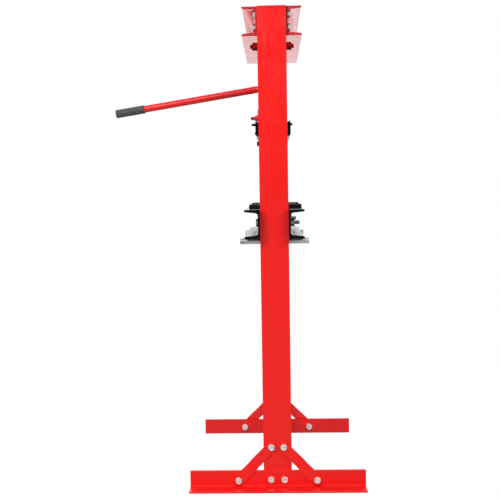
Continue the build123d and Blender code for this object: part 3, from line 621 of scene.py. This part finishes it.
def springs():
    """Each return spring is a wound wire that stretches between the head and the carriage."""
    for name, side in SIDES.items():
        bm = bmesh.new()
        tube(bm, spring_path(side * SPRING_X), SPRING_WIRE_R)
        node = "return_spring_" + name
        piece = stand_in(node, finish_mesh(bm, node + "_coil"), rides=False)
        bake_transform(piece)


def grip():
    """The rubber sleeve, moulded with rows of small raised diamonds between plain bands at its ends."""
    direction = Vector((0, -1, -HANDLE_SLOPE)).normalized()
    place = axis_place(PIVOT, direction)
    pattern = (GRIP_FROM + GRIP_BAND, GRIP_END - GRIP_BAND - GRIP_ROUND)

    def moulded(radius, z, angle):
        if radius < GRIP_R * 0.98 or not pattern[0] < z < pattern[1]:
            return radius, z
        along = (z - GRIP_FROM) / DIAMOND
        around = angle * DIAMONDS_ROUND / pi
        lines = min(abs((along + around) % 2 - 1), abs((along - around) % 2 - 1))
        return radius - GRIP_GROOVE * max(0.0, 1 - 4 * lines), z

    straight = GRIP_END - GRIP_ROUND - GRIP_FROM - GRIP_LIP
    profile = [(0, TUBE_END), (TUBE_R, TUBE_END), (TUBE_R, GRIP_FROM), (GRIP_R - GRIP_LIP, GRIP_FROM)]
    for i in range(GRIP_ROWS + 1):
        profile.append((GRIP_R, GRIP_FROM + GRIP_LIP + straight * i / GRIP_ROWS))
    for i in range(1, 7):
        turn = radians(15 * i)
        profile.append((GRIP_R - GRIP_ROUND * (1 - cos(turn)), GRIP_END - GRIP_ROUND * (1 - sin(turn))))
    profile += [(GRIP_R * 0.4, GRIP_END), (0, GRIP_END)]
    bm = bmesh.new()
    lathe(bm, profile, DIAMONDS_ROUND * 8, place, moulded)
    stand_in("handle_grip", finish_mesh(bm, "handle_grip_moulded", radians(50)))


def knurled_knob(node, spec, stem):
    """A turned knob with straight knurls, on its stem, which the CAD node's plain bars stand for."""
    centre, start, end, radius = spec
    stem_radius, stem_back = stem
    place = axis_place(centre, (0, -1, 0))
    depth = 0.06 * radius
    soft = 0.1 * radius

    def knurl(r, z, angle):
        if r < radius * 0.99:
            return r, z
        return r - depth * (0.5 + 0.5 * cos(KNURLS * angle)), z

    steps = [start + soft + (end - start - 2 * soft) * i / 4 for i in range(5)]
    profile = [(0, stem_back), (stem_radius, stem_back), (stem_radius, start), (radius - soft, start)]
    profile += [(radius, z) for z in steps]
    profile += [(radius - soft, end), (radius * 0.55, end), (radius * 0.5, end - soft), (0, end - soft)]
    bm = bmesh.new()
    lathe(bm, profile, KNURLS * 6, place, knurl)
    stand_in(node, finish_mesh(bm, node + "_knurled"))


def knobs():
    knurled_knob("release_valve", VALVE, VALVE_STEM)
    knurled_knob("ram_set_screw", SET_SCREW, SET_SCREW_STEM)


def cad_finishes():
    """Every CAD node that still shows takes its slot's material."""
    for node, part in frame["nodes"].items():
        part.data.materials.clear()
        part.data.materials.append(look_of(node))
        part.data.shade_smooth()
        part.data.set_sharp_from_angle(angle=SMOOTH_ANGLE)


def camera():
    data = bpy.data.cameras.new("camera")
    data.lens = CAMERA_LENS
    data.clip_start = 0.05
    data.clip_end = 60
    made = bpy.data.objects.new("camera", data)
    roll = Matrix.Rotation(CAMERA_ROLL, 4, "Z")
    tilt = Matrix.Rotation(CAMERA_TILT, 4, "X")
    pan = Matrix.Rotation(CAMERA_PAN, 4, "Z")
    made.matrix_world = Matrix.Translation(CAMERA_AT) @ pan @ tilt @ roll
    bpy.context.scene.collection.objects.link(made)
    bpy.context.scene.camera = made


def toward_back(tree, near, far, dim):
    """A grey that is dim on +X, where the camera and the dark side of the studio are, and white on -X."""
    where = tree.nodes.new("ShaderNodeTexCoord")
    split = tree.nodes.new("ShaderNodeSeparateXYZ")
    tree.links.new(where.outputs["Object"], split.inputs[0])
    fade = tree.nodes.new("ShaderNodeMapRange")
    for key, value in (("From Min", near), ("From Max", far), ("To Min", dim), ("To Max", 1.0)):
        fade.inputs[key].default_value = value
    tree.links.new(split.outputs["X"], fade.inputs["Value"])
    return fade.outputs[0]


def shown_white(tree, value):
    """White to the camera, and the given brightness to every other ray."""
    ray = tree.nodes.new("ShaderNodeLightPath")
    shown = tree.nodes.new("ShaderNodeMath")
    shown.operation = "MAXIMUM"
    tree.links.new(value, shown.inputs[0])
    tree.links.new(ray.outputs["Is Camera Ray"], shown.inputs[1])
    return shown.outputs[0], ray


def floor_material():
    """White to the camera and to reflections on its far side, and a soft grey to the light that bounces."""
    material = bpy.data.materials.new("floor_white")
    material.use_nodes = True
    tree = material.node_tree
    tree.nodes.clear()
    strength, ray = shown_white(tree, toward_back(tree, 0.3, -0.6, FLOOR_DIM))
    glow = tree.nodes.new("ShaderNodeEmission")
    tree.links.new(strength, glow.inputs["Strength"])
    matte = tree.nodes.new("ShaderNodeBsdfDiffuse")
    noise = tree.nodes.new("ShaderNodeTexNoise")
    noise.inputs["Scale"].default_value = 0.8
    grey = tree.nodes.new("ShaderNodeMapRange")
    grey.inputs["To Min"].default_value = FLOOR_BOUNCE - 0.03
    grey.inputs["To Max"].default_value = FLOOR_BOUNCE + 0.03
    tree.links.new(noise.outputs["Fac"], grey.inputs["Value"])
    tree.links.new(grey.outputs[0], matte.inputs["Color"])
    mix = tree.nodes.new("ShaderNodeMixShader")
    tree.links.new(ray.outputs["Is Diffuse Ray"], mix.inputs[0])
    tree.links.new(glow.outputs[0], mix.inputs[1])
    tree.links.new(matte.outputs[0], mix.inputs[2])
    made = tree.nodes.new("ShaderNodeOutputMaterial")
    tree.links.new(mix.outputs[0], made.inputs["Surface"])
    return material


def floor():
    mesh = bpy.data.meshes.new("floor")
    half = FLOOR_HALF
    corners = [(-half, -half, 0), (half, -half, 0), (half, half, 0), (-half, half, 0)]
    mesh.from_pydata(corners, [], [(0, 1, 2, 3)])
    made = bpy.data.objects.new("floor", mesh)
    mesh.materials.append(floor_material())
    bpy.context.scene.collection.objects.link(made)


def area_light(name, at, target, size, watts):
    data = bpy.data.lights.new(name, "AREA")
    data.shape = "RECTANGLE"
    data.size, data.size_y = size
    data.energy = watts
    made = bpy.data.objects.new(name, data)
    aim = (Vector(target) - Vector(at)).to_track_quat("-Z", "Y")
    made.matrix_world = Matrix.Translation(at) @ aim.to_matrix().to_4x4()
    bpy.context.scene.collection.objects.link(made)


def lights():
    area_light("key", (3.0, -1.7, 2.8), (0, 0, 0.4), (2.0, 1.8), 106)
    area_light("fill", (3.0, 1.8, 2.5), (0, 0, 0.4), (2.0, 1.8), 61)
    area_light("top", (-1.0, 0.0, 4.2), (0, 0, 0), (2.5, 3.5), 8)
    area_light("back", (-3.2, 0.0, 2.2), (0, 0, 0.6), (3.5, 2.0), 35)
    world = bpy.data.worlds.new("studio")
    world.use_nodes = True
    bpy.context.scene.world = world
    tree = world.node_tree
    strength, _ = shown_white(tree, toward_back(tree, 0.2, -0.5, STUDIO_DIM))
    background = tree.nodes["Background"]
    background.inputs["Color"].default_value = (1, 1, 1, 1)
    tree.links.new(strength, background.inputs["Strength"])
    bpy.context.scene.view_settings.view_transform = "Standard"


cad_finishes()
steelwork()
fasteners()
springs()
grip()
knobs()
camera()
floor()
lights()
